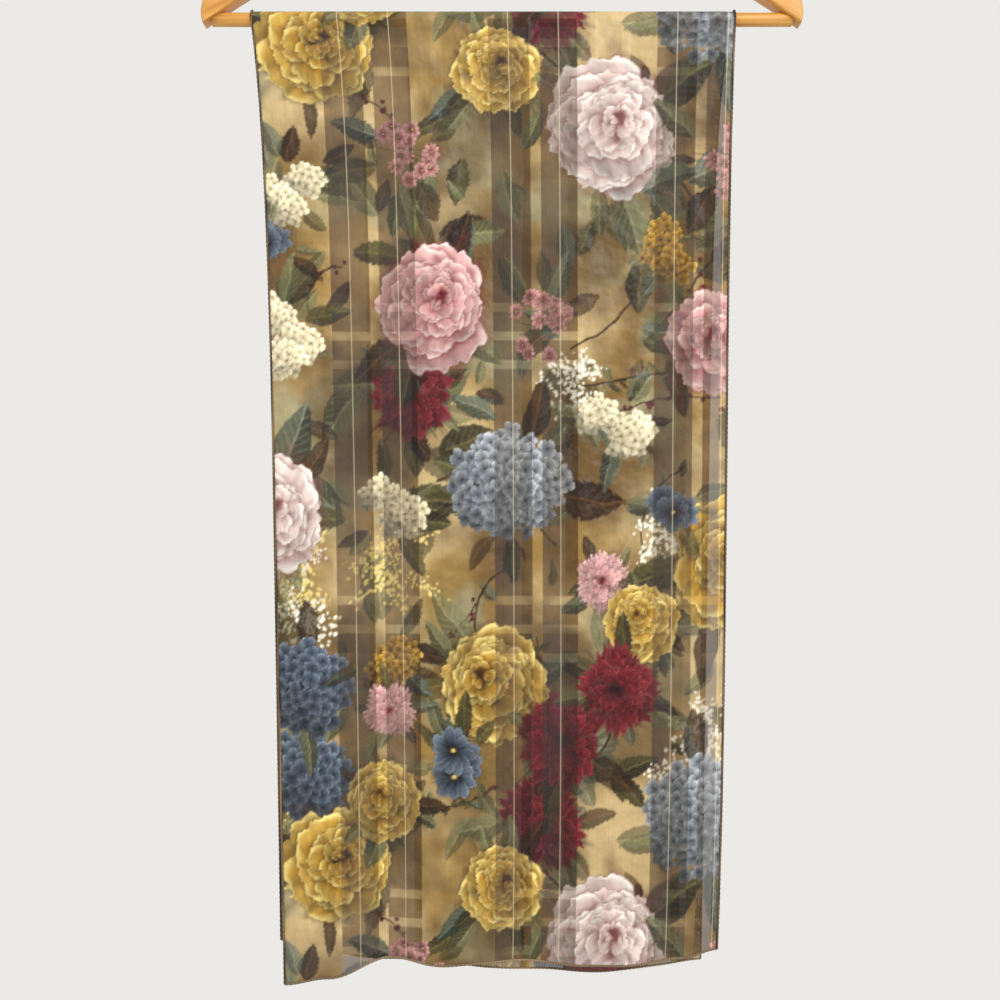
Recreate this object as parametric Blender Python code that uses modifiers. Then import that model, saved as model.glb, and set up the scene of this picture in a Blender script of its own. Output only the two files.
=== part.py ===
"""An oblong chiffon scarf folded over the trouser bar of a plain wooden hanger. Metres, +Z up.

The origin is the point inside the hook's crook that bears on a rail. +X runs to the right of the
scarf's front and the front faces -Y. The cloth hangs in two falls, joined by the stretch over the
bar, and each stretch has its own rolled hems.
"""
import math

import bmesh
import bpy
from mathutils import Vector

GAP = 0.0003                # between pieces that touch

# The hanger
BAR_Z = -0.210              # the bar's axis
BAR_RADIUS = 0.005
BAR_HALF = 0.2135           # half the bar's length
ARM_DEPTH = 0.015
ARM_TIP_X = 0.2195          # the lowest point of an arm's end
ARM_TIP_Z = BAR_Z - 0.0045
ARM_ROOT_Z = -0.104         # the arms' lower edge at the middle
ARM_ROOT_HEIGHT = 0.042
ARM_END_HEIGHT = 0.030
ARM_END_START = 0.204       # where the rounded end begins on the upper edge
ARM_END_BULGE = (0.226, BAR_Z + 0.012)
ARM_BOW = 0.282             # share of an arm's fall that comes from its curve
ARM_CROWN = 0.014           # how widely the two arms are rounded into each other
ARM_STEPS = 12
ARM_EDGE = 0.0025           # rounding of the wood's edges
WIRE_RADIUS = 0.0017
CROOK_RADIUS = 0.0187       # to the wire's centre
STEM_FOOT_Z = -0.086        # inside the wood
STEM_HEAD_Z = -0.050
CROOK_START = -50           # degrees round the crook, where the stem's bend meets it
CROOK_END = 205

# The cloth
WALL = 0.001
HEM_RADIUS = 0.001
EDGE_LEFT = -0.185          # outer edges at the bar, hems included
EDGE_RIGHT = 0.172
COLUMNS = 24
ROWS = 18
BAR_ROWS = 8
FOLD_RADIUS = BAR_RADIUS + GAP + WALL / 2       # the middle of the wall as it passes over the bar
HEM_LIFT = HEM_RADIUS - WALL / 2                # hems stand out this far from the wall's middle
HEM_WIDTH = 2 * HEM_RADIUS + GAP                # what a hem takes from its panel
RIPPLE_START = 0.05         # distance below the bar where the ripples begin

# How each fall pulls in below the bar: "quick" is taken up within about "reach", "slow" evenly
# over the fall and "late" near its foot. "drop" is the fall's length at places across it.
FALLS = {
    "front": {
        "facing": -1,
        "left": {"quick": 0.010, "reach": 0.090, "slow": 0.015, "late": 0.0},
        "right": {"quick": 0.004, "reach": 0.100, "slow": 0.006, "late": 0.005},
        "drop": [
            {"across": 0.00, "length": 0.710},
            {"across": 0.10, "length": 0.706},
            {"across": 0.25, "length": 0.691},
            {"across": 0.38, "length": 0.697},
            {"across": 0.55, "length": 0.693},
            {"across": 0.78, "length": 0.698},
            {"across": 0.92, "length": 0.691},
            {"across": 1.00, "length": 0.684},
        ],
        "ripples": [
            {"waves": 3.4, "height": 0.0016, "phase": 0.3},
            {"waves": 5.9, "height": 0.0011, "phase": 2.1},
        ],
    },
    "back": {
        "facing": 1,
        "left": {"quick": 0.009, "reach": 0.090, "slow": 0.011, "late": 0.0},
        "right": {"quick": 0.0125, "reach": 0.060, "slow": 0.011, "late": 0.0},
        "drop": [
            {"across": 0.00, "length": 0.683},
            {"across": 0.25, "length": 0.696},
            {"across": 0.50, "length": 0.702},
            {"across": 0.75, "length": 0.706},
            {"across": 1.00, "length": 0.697},
        ],
        "ripples": [
            {"waves": 2.9, "height": 0.0015, "phase": 1.4},
            {"waves": 5.1, "height": 0.0012, "phase": 0.2},
        ],
    },
}
FALL_LENGTH = 0.710         # the longest corner

COLOURS = {
    "chiffon": {"colour": (0.53, 0.43, 0.27), "roughness": 0.55, "metallic": 0.0},
    "hem": {"colour": (0.05, 0.03, 0.02), "roughness": 0.7, "metallic": 0.0},
    "beech": {"colour": (0.62, 0.36, 0.11), "roughness": 0.35, "metallic": 0.0},
    "steel": {"colour": (0.75, 0.75, 0.75), "roughness": 0.25, "metallic": 1.0},
}


def clear_scene():
    for old in list(bpy.data.objects):
        bpy.data.objects.remove(old)


def make_collection(name):
    collection = bpy.data.collections.new(name)
    bpy.context.scene.collection.children.link(collection)
    return collection


def make_material(name):
    look = COLOURS[name]
    material = bpy.data.materials.new(name)
    material.use_nodes = True
    shader = material.node_tree.nodes["Principled BSDF"]
    shader.inputs["Base Color"].default_value = (*look["colour"], 1)
    shader.inputs["Roughness"].default_value = look["roughness"]
    shader.inputs["Metallic"].default_value = look["metallic"]
    return material


def add_object(name, data, material, collection):
    thing = bpy.data.objects.new(name, data)
    if material:
        data.materials.append(material)
    collection.objects.link(thing)
    return thing


def fall_length(fall, across):
    """Length of the fall at a place across it, from 0 at the left to 1 at the right."""
    rows = fall["drop"]
    for upper, lower in zip(rows, rows[1:]):
        if across <= lower["across"]:
            break
    share = (across - upper["across"]) / (lower["across"] - upper["across"])
    ease = share * share * (3 - 2 * share)
    return upper["length"] + ease * (lower["length"] - upper["length"])


def pull_in(edge, below):
    """How far an edge has come in at a distance below the bar."""
    depth = below / FALL_LENGTH
    quick = edge["quick"] * (1 - math.exp(-below / edge["reach"]))
    return quick + edge["slow"] * depth + edge["late"] * depth**6


def fall_point(fall, across, below, inset, lift=0.0):
    """A point between the fall's inset edges, lifted outwards from the middle of its wall."""
    left = EDGE_LEFT + inset + pull_in(fall["left"], below)
    right = EDGE_RIGHT - inset - pull_in(fall["right"], below)
    growth = max(0.0, below - RIPPLE_START) / FALL_LENGTH
    sway = 0.0
    for ripple in fall["ripples"]:
        sway += ripple["height"] * math.sin(2 * math.pi * ripple["waves"] * across + ripple["phase"])
    out = FOLD_RADIUS + lift + growth * sway
    return Vector((left + (right - left) * across, fall["facing"] * out, BAR_Z - below))


def bar_point(x, turn, lift=0.0):
    """A point on the stretch over the bar; turn runs from 0 at the front to 1 at the back."""
    angle = math.pi * turn
    radius = FOLD_RADIUS + lift
    return Vector((x, -radius * math.cos(angle), BAR_Z + radius * math.sin(angle)))


def make_sheet(name, columns, rows, place, material, collection):
    """A wall of cloth from a flat grid whose points are moved by place(across, along)."""
    mesh = bpy.data.meshes.new(name)
    grid = bmesh.new()
    bmesh.ops.create_grid(grid, x_segments=columns, y_segments=rows, size=0.5)
    for vertex in grid.verts:
        vertex.co = place(vertex.co.x + 0.5, vertex.co.y + 0.5)
    grid.to_mesh(mesh)
    grid.free()
    mesh.shade_smooth()
    sheet = add_object(name, mesh, material, collection)
    wall = sheet.modifiers.new("wall", "SOLIDIFY")
    wall.thickness = WALL
    wall.offset = 0
    wall.use_even_offset = True
    return sheet


def make_wire(name, points, radius, fineness, material, collection):
    """A round rod along points."""
    curve = bpy.data.curves.new(name, "CURVE")
    curve.dimensions = "3D"
    curve.bevel_depth = radius
    curve.bevel_resolution = fineness
    curve.use_fill_caps = True
    spline = curve.splines.new("POLY")
    spline.points.add(len(points) - 1)
    for target, point in zip(spline.points, points):
        target.co = (*point, 1)
    spline.use_smooth = True
    return add_object(name, curve, material, collection)


def steps(count):
    return [step / count for step in range(count + 1)]


def make_fall(side, material, collection):
    """One fall of the scarf, inside its hems."""
    fall = FALLS[side]

    def place(across, along):
        length = fall_length(fall, across) - HEM_WIDTH
        return fall_point(fall, across, GAP + along * (length - GAP), HEM_WIDTH)

    return make_sheet(f"scarf_{side}_fall", COLUMNS, ROWS, place, material, collection)


def make_over_bar(material, collection):
    """The stretch of cloth that lies over the bar."""
    left = EDGE_LEFT + HEM_WIDTH
    right = EDGE_RIGHT - HEM_WIDTH

    def place(across, along):
        return bar_point(left + (right - left) * across, along)

    return make_sheet("scarf_over_bar", COLUMNS, BAR_ROWS, place, material, collection)


def make_side_hems(edge, across, x, material, collection):
    """The rolled hem along one side of all three stretches."""
    for side, fall in FALLS.items():
        length = fall_length(fall, across) - HEM_RADIUS
        depths = [GAP + (length - GAP) * share for share in steps(ROWS)]
        path = [fall_point(fall, across, below, HEM_RADIUS, HEM_LIFT) for below in depths]
        make_wire(f"hem_{edge}_{side}", path, HEM_RADIUS, 1, material, collection)
    path = [bar_point(x, turn, HEM_LIFT) for turn in steps(BAR_ROWS)]
    make_wire(f"hem_{edge}_over_bar", path, HEM_RADIUS, 1, material, collection)


def make_foot_hem(side, material, collection):
    """The rolled hem along the foot of a fall, between its side hems."""
    fall = FALLS[side]
    path = []
    for across in steps(COLUMNS):
        path.append(fall_point(fall, across, fall_length(fall, across) - HEM_RADIUS, HEM_WIDTH, HEM_LIFT))
    make_wire(f"hem_foot_{side}", path, HEM_RADIUS, 1, material, collection)


def arm_lower_edge(x):
    share = (math.hypot(x, ARM_CROWN) - ARM_CROWN) / (math.hypot(ARM_TIP_X, ARM_CROWN) - ARM_CROWN)
    return ARM_ROOT_Z + (ARM_TIP_Z - ARM_ROOT_Z) * ((1 - ARM_BOW) * share + ARM_BOW * share * share)


def arm_outline():
    """The right arm's outline in X and Z, counter-clockwise from its root's lower corner."""
    start = GAP / 2
    lower = [(start + (ARM_TIP_X - start) * share, 0) for share in steps(ARM_STEPS)]
    lower = [(x, arm_lower_edge(x)) for x, _ in lower]
    upper = []
    for share in steps(ARM_STEPS):
        x = ARM_END_START + (start - ARM_END_START) * share
        height = ARM_ROOT_HEIGHT + (ARM_END_HEIGHT - ARM_ROOT_HEIGHT) * x / ARM_TIP_X
        upper.append((x, arm_lower_edge(x) + height))
    end = []
    for share in steps(6)[1:-1]:
        weights = ((1 - share) ** 2, 2 * share * (1 - share), share**2)
        corners = (lower[-1], ARM_END_BULGE, upper[0])
        end.append(tuple(sum(w * c[i] for w, c in zip(weights, corners)) for i in (0, 1)))
    return lower + end + upper


def make_cutter(name, radius, length, place, turn, collection):
    bpy.ops.mesh.primitive_cylinder_add(
        vertices=24, radius=radius, depth=length, location=place, rotation=turn)
    cutter = bpy.context.active_object
    cutter.name = name
    cutter.hide_render = True
    cutter.display_type = "WIRE"
    for home in list(cutter.users_collection):
        home.objects.unlink(cutter)
    collection.objects.link(cutter)
    return cutter


def make_arm(name, mirrored, cutters, material, collection):
    """One arm of the hanger, with its half of the hook's hole and the socket of the bar."""
    curve = bpy.data.curves.new(name + "_outline", "CURVE")
    curve.dimensions = "2D"
    curve.fill_mode = "BOTH"
    curve.extrude = ARM_DEPTH / 2
    spline = curve.splines.new("POLY")
    outline = arm_outline()
    spline.points.add(len(outline) - 1)
    for target, (x, z) in zip(spline.points, outline):
        target.co = (-x if mirrored else x, z, 0, 1)
    spline.use_cyclic_u = True
    outline_object = add_object(name + "_outline", curve, None, collection)
    outline_object.rotation_euler = (math.pi / 2, 0, 0)
    bpy.context.view_layer.update()
    depsgraph = bpy.context.evaluated_depsgraph_get()
    mesh = bpy.data.meshes.new_from_object(outline_object.evaluated_get(depsgraph))
    mesh.name = name
    solid = bmesh.new()
    solid.from_mesh(mesh)
    bmesh.ops.remove_doubles(solid, verts=solid.verts, dist=0.00001)
    bmesh.ops.recalc_face_normals(solid, faces=solid.faces)
    solid.to_mesh(mesh)
    solid.free()
    arm = add_object(name, mesh, material, collection)
    arm.matrix_world = outline_object.matrix_world
    bpy.data.objects.remove(outline_object)
    rounding = arm.modifiers.new("rounded_edges", "BEVEL")
    rounding.width = ARM_EDGE
    rounding.segments = 2
    rounding.limit_method = "ANGLE"
    rounding.angle_limit = math.radians(60)
    for cutter in cutters:
        cut = arm.modifiers.new(cutter.name, "BOOLEAN")
        cut.operation = "DIFFERENCE"
        cut.object = cutter
    return arm


def make_bar(material, collection):
    turn = (0, math.pi / 2, 0)
    bpy.ops.mesh.primitive_cylinder_add(
        vertices=24, radius=BAR_RADIUS, depth=2 * BAR_HALF, location=(0, 0, BAR_Z), rotation=turn)
    bar = bpy.context.active_object
    bar.name = "trouser_bar"
    bar.data.materials.append(material)
    bar.data.shade_smooth()
    bar.data.set_sharp_from_angle(angle=math.radians(40))
    for home in list(bar.users_collection):
        home.objects.unlink(bar)
    collection.objects.link(bar)
    return bar


def hook_path():
    """Stem, swing to the right and crook, as the centre of the wire."""
    centre = Vector((0, 0, WIRE_RADIUS - CROOK_RADIUS))

    def on_crook(angle):
        return centre + CROOK_RADIUS * Vector((math.cos(angle), 0, math.sin(angle)))

    start = math.radians(CROOK_START)
    end = math.radians(CROOK_END)
    head = Vector((0, 0, STEM_HEAD_Z))
    meet = on_crook(start)
    reach = (meet - head).length
    rise = Vector((0, 0, reach))
    sweep = reach * Vector((-math.sin(start), 0, math.cos(start)))
    path = [Vector((0, 0, STEM_FOOT_Z))]
    for t in steps(8):
        path.append((2 * t**3 - 3 * t**2 + 1) * head + (t**3 - 2 * t**2 + t) * rise
                    + (3 * t**2 - 2 * t**3) * meet + (t**3 - t**2) * sweep)
    path += [on_crook(start + (end - start) * t) for t in steps(24)[1:]]
    return path


def main():
    clear_scene()
    parts = make_collection("chiffon_scarf_on_hanger")
    cutters = make_collection("cutters")
    chiffon = make_material("chiffon")
    hem = make_material("hem")
    beech = make_material("beech")
    steel = make_material("steel")

    make_fall("front", chiffon, parts)
    make_fall("back", chiffon, parts)
    make_over_bar(chiffon, parts)
    make_side_hems("left", 0, EDGE_LEFT + HEM_RADIUS, hem, parts)
    make_side_hems("right", 1, EDGE_RIGHT - HEM_RADIUS, hem, parts)
    make_foot_hem("front", hem, parts)
    make_foot_hem("back", hem, parts)

    socket = make_cutter("bar_socket", BAR_RADIUS + GAP, 2 * (BAR_HALF + GAP), (0, 0, BAR_Z),
                         (0, math.pi / 2, 0), cutters)
    hole_foot = STEM_FOOT_Z - GAP
    hole = make_cutter("stem_hole", WIRE_RADIUS + GAP, STEM_HEAD_Z - hole_foot,
                       (0, 0, (STEM_HEAD_Z + hole_foot) / 2), (0, 0, 0), cutters)
    make_arm("arm_left", True, (socket, hole), beech, parts)
    make_arm("arm_right", False, (socket, hole), beech, parts)
    make_bar(beech, parts)
    make_wire("hook", hook_path(), WIRE_RADIUS, 2, steel, parts)


main()
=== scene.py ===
import math

import bmesh
import bpy
import numpy as np
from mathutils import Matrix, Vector


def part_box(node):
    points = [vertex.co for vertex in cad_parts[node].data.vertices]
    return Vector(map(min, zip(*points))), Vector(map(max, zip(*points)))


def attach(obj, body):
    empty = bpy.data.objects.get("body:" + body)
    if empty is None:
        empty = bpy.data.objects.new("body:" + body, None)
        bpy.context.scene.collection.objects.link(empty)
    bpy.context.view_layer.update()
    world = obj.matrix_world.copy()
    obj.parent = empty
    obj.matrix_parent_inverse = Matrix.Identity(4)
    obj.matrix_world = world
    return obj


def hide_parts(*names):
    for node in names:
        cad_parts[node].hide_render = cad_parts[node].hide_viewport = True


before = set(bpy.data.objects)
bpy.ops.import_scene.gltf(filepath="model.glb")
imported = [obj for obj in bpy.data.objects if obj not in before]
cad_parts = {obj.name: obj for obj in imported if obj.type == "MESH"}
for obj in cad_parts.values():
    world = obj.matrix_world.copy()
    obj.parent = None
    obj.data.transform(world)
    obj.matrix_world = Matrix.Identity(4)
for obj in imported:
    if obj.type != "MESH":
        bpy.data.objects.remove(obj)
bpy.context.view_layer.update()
print("frame loaded")

# Everything hangs from the bar, so its place and the cloth's edges come from the frame
barLow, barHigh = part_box("trouser_bar")
barZ = (barLow[2] + barHigh[2]) / 2
barRadius = (barHigh[2] - barLow[2]) / 2
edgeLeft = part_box("hem_left_over_bar")[0][0]
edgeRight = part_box("hem_right_over_bar")[1][0]
clothWidth = edgeRight - edgeLeft
gap = 0.0003


class Value:
    # a socket that can be reckoned with; each step adds a Math node
    def __init__(self, look, socket):
        self.look = look
        self.socket = socket

    def math(self, operation, *values):
        return self.look.node("ShaderNodeMath", {"operation": operation}, dict(enumerate(values)))

    def __add__(self, other):
        return self.math("ADD", self, other)

    def __sub__(self, other):
        return self.math("SUBTRACT", self, other)

    def __rsub__(self, other):
        return self.math("SUBTRACT", other, self)

    def __mul__(self, other):
        return self.math("MULTIPLY", self, other)

    def wrapped(self, length):
        return self.math("FLOORED_MODULO", self, length)

    def orMore(self, other):
        return self.math("MAXIMUM", self, other)

    # 1 between two edges and 0 outside, over a soft distance
    def between(self, low, high, soft):
        return self.rise(low, soft) * (1 - self.rise(high, soft))

    def rise(self, edge, soft):
        limits = {"From Min": edge - soft / 2, "From Max": edge + soft / 2}
        return self.look.node("ShaderNodeMapRange", {"interpolation_type": "SMOOTHSTEP"}, {0: self, **limits})

    __radd__ = __add__
    __rmul__ = __mul__


class Look:
    # a material: its plain settings go straight on the shader, the rest is wired
    def __init__(self, name, **plain):
        self.material = bpy.data.materials.new(name)
        self.material.use_nodes = True
        self.tree = self.material.node_tree
        self.shader = self.tree.nodes["Principled BSDF"]
        for setting, value in plain.items():
            self.shader.inputs[setting.replace("_", " ")].default_value = value

    def node(self, kind, settings, sockets, output=0):
        made = self.tree.nodes.new(kind)
        for setting, value in settings.items():
            setattr(made, setting, value)
        for key, value in sockets.items():
            if isinstance(value, Value):
                self.tree.links.new(value.socket, made.inputs[key])
            else:
                made.inputs[key].default_value = value
        return Value(self, made.outputs[output])

    def wire(self, setting, value):
        self.tree.links.new(value.socket, self.shader.inputs[setting])

    def mix(self, share, first, second, blend="MIX"):
        kind = {"data_type": "RGBA", "blend_type": blend}
        return self.node("ShaderNodeMix", kind, {0: share, 6: first, 7: second}, 2)

    def noise(self, place, scale, detail):
        return self.node("ShaderNodeTexNoise", {}, {"Vector": place, "Scale": scale, "Detail": detail})

    def objectPlace(self, stretch, lean=0.0):
        place = self.node("ShaderNodeTexCoord", {}, {}, "Object")
        place = self.node("ShaderNodeMapping", {}, {"Vector": place, "Rotation": (0, lean, 0)})
        return self.node("ShaderNodeMapping", {}, {"Vector": place, "Scale": stretch})

    def relief(self, height, distance, strength):
        sizes = {"Height": height, "Distance": distance, "Strength": strength}
        self.wire("Normal", self.node("ShaderNodeBump", {}, sizes))


def paint(red, green, blue):
    return np.array((red, green, blue)) ** 2.2


def solid(colour):
    return (*colour, 1)


# The print. Sizes are in metres and counts are for one repeat.
floral = {
    "repeat": 0.60,
    "pitch": 0.00075,
    "seed": 11,
    "tries": 40,
    "softEdge": 0.0006,
    "light": (0.55, -0.83),         # towards the painted light, across and along
    "pale": paint(0.81, 0.73, 0.57),
    "gold": paint(0.65, 0.55, 0.35),
    "umber": paint(0.43, 0.34, 0.21),
    "mist": paint(0.66, 0.65, 0.55),
    "goldClouds": 0.075,            # the sizes of the ground's clouds
    "mistClouds": 0.050,
    "umberClouds": 0.060,
    "mottle": 0.009,
    "octaves": 4,                   # finer and finer noise within each cloud
    "wander": 0.0022,               # how far outlines stray from true
    "broadStray": 0.016,
    "fineStray": 0.004,
    "depth": 1.36,                  # above 1 deepens all the inks
    "fillers": 120,                 # leaves on the bare ground
    "fillerLength": (0.018, 0.055),
    "collar": 8,                    # leaves round each bloom
    "sprays": 9,
    "sprayRadius": (0.032, 0.052),
    "stems": 26,
    "stemLength": (0.04, 0.10),
    "stemWidth": (0.0009, 0.0014),
    "stemStep": 7,                  # points between the berries or leaflets of a stem
    "leaflet": (0.008, 0.016),
    "berry": 0.0022,
    "berrySpread": 0.003,
}
fullTurn = 6.28                     # radians, near enough for painting
goldenAngle = 2.4

# An ink is the colours of a motif's rims, body and heart
inks = {
    "gold": (paint(0.93, 0.86, 0.60), paint(0.70, 0.56, 0.22), paint(0.33, 0.20, 0.05)),
    "blush": (paint(0.93, 0.84, 0.82), paint(0.79, 0.61, 0.60), paint(0.50, 0.13, 0.18)),
    "crimson": (paint(0.62, 0.30, 0.33), paint(0.42, 0.11, 0.15), paint(0.18, 0.03, 0.05)),
    "pearl": (paint(0.94, 0.91, 0.88), paint(0.81, 0.73, 0.71), paint(0.52, 0.33, 0.31)),
    "blue": (paint(0.87, 0.88, 0.88), paint(0.61, 0.63, 0.65), paint(0.20, 0.21, 0.25)),
    "navy": (paint(0.64, 0.68, 0.72), paint(0.38, 0.42, 0.47), paint(0.12, 0.14, 0.18)),
    "rose": (paint(0.88, 0.76, 0.73), paint(0.76, 0.59, 0.57), paint(0.48, 0.25, 0.26)),
    "ivory": (paint(0.98, 0.96, 0.90), paint(0.88, 0.84, 0.72), paint(0.50, 0.45, 0.33)),
    "sage": (paint(0.70, 0.69, 0.55), paint(0.52, 0.52, 0.39), paint(0.31, 0.31, 0.21)),
    "olive": (paint(0.54, 0.51, 0.34), paint(0.36, 0.34, 0.20), paint(0.18, 0.17, 0.09)),
    "brown": (paint(0.52, 0.38, 0.23), paint(0.31, 0.21, 0.12), paint(0.16, 0.10, 0.06)),
    "slate": (paint(0.66, 0.68, 0.60), paint(0.44, 0.47, 0.41), paint(0.23, 0.26, 0.23)),
}
leafInks = ["sage", "sage", "sage", "olive", "olive", "brown", "slate"]


def smooth(low, high, value):
    share = np.clip((value - low) / (high - low), 0, 1)
    return share * share * (3 - 2 * share)


def blend(first, second, share):
    return first + (second - first) * share[..., None]


def anyTurn(dice):
    return dice.uniform(0, fullTurn)


# A start for a wave; a little under a whole turn
def anyPhase(dice):
    return dice.uniform(0, 6)


class Printed:
    # one repeat of the print on a fine grid; lengthwise it joins up with itself
    def __init__(self, dice):
        self.rows = round(floral["repeat"] / floral["pitch"])
        self.columns = math.ceil(clothWidth / floral["pitch"]) + 1
        cloudy = self.clouds(dice, floral["goldClouds"])
        streaky = self.clouds(dice, floral["mistClouds"])
        self.colour = blend(floral["pale"], floral["gold"], smooth(0.30, 0.62, cloudy))
        self.colour = blend(self.colour, floral["mist"], smooth(0.52, 0.74, streaky) * 0.7)
        deep = smooth(0.44, 0.74, self.clouds(dice, floral["umberClouds"]))
        self.colour = blend(self.colour, floral["umber"], deep * 0.75)
        self.cover = np.zeros((self.rows, self.columns))
        wander = floral["wander"] / floral["pitch"]
        self.strays = []
        for direction in range(2):
            broad = self.clouds(dice, floral["broadStray"]) - 0.5
            fine = self.clouds(dice, floral["fineStray"]) - 0.5
            self.strays.append((broad * 2.4 + fine * 0.45) * wander)

    # soft noise from 0 to 1, with cells of a size and finer ones within them
    def clouds(self, dice, cell):
        total = 0
        for octave in range(floral["octaves"]):
            high = max(2, round(floral["repeat"] / cell * 2**octave))
            wide = max(2, round(clothWidth / cell * 2**octave)) + 1
            grid = dice.random((high, wide))
            row = np.arange(self.rows) * high / self.rows
            column = np.arange(self.columns) * (wide - 1.001) / self.columns
            r = row.astype(int)
            c = column.astype(int)
            down = smooth(0, 1, row - r)[:, None]
            over = smooth(0, 1, column - c)[None, :]
            upper = grid[r][:, c] * (1 - over) + grid[r][:, c + 1] * over
            lower = grid[(r + 1) % high][:, c] * (1 - over) + grid[(r + 1) % high][:, c + 1] * over
            total = total + (upper * (1 - down) + lower * down) * 0.5**octave
        return total / sum(0.5**octave for octave in range(floral["octaves"]))

    # the grid points near a place, and how far each lies from it
    def around(self, x, run, reach):
        pitch = floral["pitch"]
        rows = np.arange(math.floor((run - reach) / pitch), math.ceil((run + reach) / pitch) + 1)
        first = max(0, math.floor((x - reach) / pitch))
        last = min(self.columns - 1, math.ceil((x + reach) / pitch))
        columns = np.arange(first, max(first, last) + 1)
        columns = np.minimum(columns, self.columns - 1)
        spots = np.ix_(rows % self.rows, columns)
        return spots, (columns * pitch - x)[None, :], (rows * pitch - run)[:, None]

    def lay(self, spots, mask, colour, cover=1.0):
        under = self.colour[spots]
        self.colour[spots] = under + mask[..., None] * (colour - under)
        self.cover[spots] = np.maximum(self.cover[spots], mask * cover)

    # colour and cover at any places on the cloth
    def sample(self, x, run):
        column = np.clip(x / floral["pitch"], 0, self.columns - 1.001)
        row = (run / floral["pitch"]) % self.rows
        near = (row.astype(int) % self.rows, column.astype(int))
        column = np.clip(column + self.strays[0][near], 0, self.columns - 1.001)
        row = (row + self.strays[1][near]) % self.rows
        c = column.astype(int)
        r = row.astype(int) % self.rows
        below = (r + 1) % self.rows
        over = (column - c)[:, None]
        down = (row - np.floor(row))[:, None]
        whole = np.concatenate([self.colour, self.cover[..., None]], axis=2)
        upper = whole[r, c] * (1 - over) + whole[r, c + 1] * over
        lower = whole[below, c] * (1 - over) + whole[below, c + 1] * over
        return upper * (1 - down) + lower * down


# Where each grid point lies on a petal: along it from 0 at the root to 1 at the tip, and to its side
def onPetal(dx, dy, turn, length, width):
    along = (dx * math.cos(turn) + dy * math.sin(turn)) / length
    side = (dy * math.cos(turn) - dx * math.sin(turn)) / (width / 2)
    return along, side


# How the painted light falls on a rounded petal: brighter on the side that it comes from
def lighting(along, side, turn):
    lightX, lightRun = floral["light"]
    sideways = lightRun * math.cos(turn) - lightX * math.sin(turn)
    outwards = lightX * math.cos(turn) + lightRun * math.sin(turn)
    return 1 + 0.20 * side * sideways + 0.22 * outwards * (along - 0.35)


# A petal from its root, over its own soft shadow. "fullest" is where it is widest, "blunt" rounds the tip.
def petal(cloth, x, run, turn, length, width, ink, dice, fullest=0.64, blunt=0.5, ragged=0.0, tone=0.0):
    spots, dx, dy = cloth.around(x, run, max(length, width / 2) * 1.15)
    along, side = onPetal(dx, dy, turn, length, width)
    frill = np.sin(side * 10 + anyPhase(dice)) + np.sin(side * 23 + anyPhase(dice)) / 2
    tip = along + ragged * frill * np.clip(along, 0, 1)
    reach = np.where(tip < fullest, (fullest - tip) / fullest, (tip - fullest) / (1 - fullest))
    form = np.clip(1 - reach * reach, 0, 1) ** blunt
    room = form - np.abs(side)
    inside = np.abs(reach) < 1
    edge = max(0.05, 2 * floral["softEdge"] / width)
    shadow = smooth(-0.30, 0.10, np.clip(1.12 - reach * reach, 0, 1) ** blunt - np.abs(side)) * 0.35
    cloth.lay(spots, shadow * smooth(0.1, 0.5, along), ink[2], 0.6)
    rim, body, heart = ink
    colour = blend(heart, body, smooth(0.02, 0.66, along + 0.1 * np.sin(side * 6 + anyPhase(dice))))
    lip = smooth(0.34, 0.0, room) * smooth(0.3, 0.85, along)
    sheen = smooth(0.55, 1.0, along) * 0.35
    colour = blend(colour, rim, np.clip(lip * 0.9 + sheen, 0, 1))
    streaks = 0.07 * np.sin(side * 9 + 2 * along + anyPhase(dice)) + 0.04 * np.sin(side * 21)
    shade = lighting(along, side, turn) + streaks + tone
    cloth.lay(spots, smooth(0, edge, room) * inside, colour * np.clip(shade, 0.3, 1.5)[..., None])


def disc(cloth, x, run, radius, colour, softness, strength=1.0, cover=1.0):
    spots, dx, dy = cloth.around(x, run, radius * 1.05)
    away = np.sqrt(dx * dx + dy * dy) / radius
    cloth.lay(spots, smooth(1, 1 - softness, away) * strength, colour, cover)


# A leaf with a pale rib, side veins, one half in shade and sometimes a toothed edge
def leaf(cloth, x, run, turn, length, ink, dice):
    width = length * dice.uniform(0.34, 0.54)
    spots, dx, dy = cloth.around(x, run, length * 1.05)
    along, side = onPetal(dx, dy, turn, length, width)
    side = side + dice.uniform(-0.8, 0.8) * along * (1 - along)
    teeth = 0.16 if dice.random() < 0.55 else 0.03
    toothed = teeth * ((along * 9 + dice.random()) % 1.0)
    reach = np.where(along < 0.42, (0.42 - along) / 0.42, (along - 0.42) / 0.58)
    room = np.clip(1 - reach * reach, 0, 1) ** 0.85 - np.abs(side) - toothed
    rim, body, heart = ink
    lit = np.clip(0.5 + 0.32 * np.sign(side) * dice.choice((-1, 1)) + dice.uniform(-0.2, 0.2), 0, 1)
    colour = blend(heart, body, lit)
    veins = smooth(0.72, 1.0, np.sin((along * 8 - np.abs(side) * 2.2) * fullTurn) * 0.5 + 0.5) * 0.26
    colour = blend(colour, rim, veins * smooth(0, 0.3, room))
    colour = blend(colour, rim, smooth(0.09, 0.03, np.abs(side)) * 0.55)
    shade = lighting(along, side, turn) + dice.uniform(-0.12, 0.16)
    mask = smooth(0, max(0.08, 2 * floral["softEdge"] / width), room) * dice.uniform(0.62, 0.95)
    cloth.lay(spots, mask * (reach < 1), colour * shade[..., None], 0.8)


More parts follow.
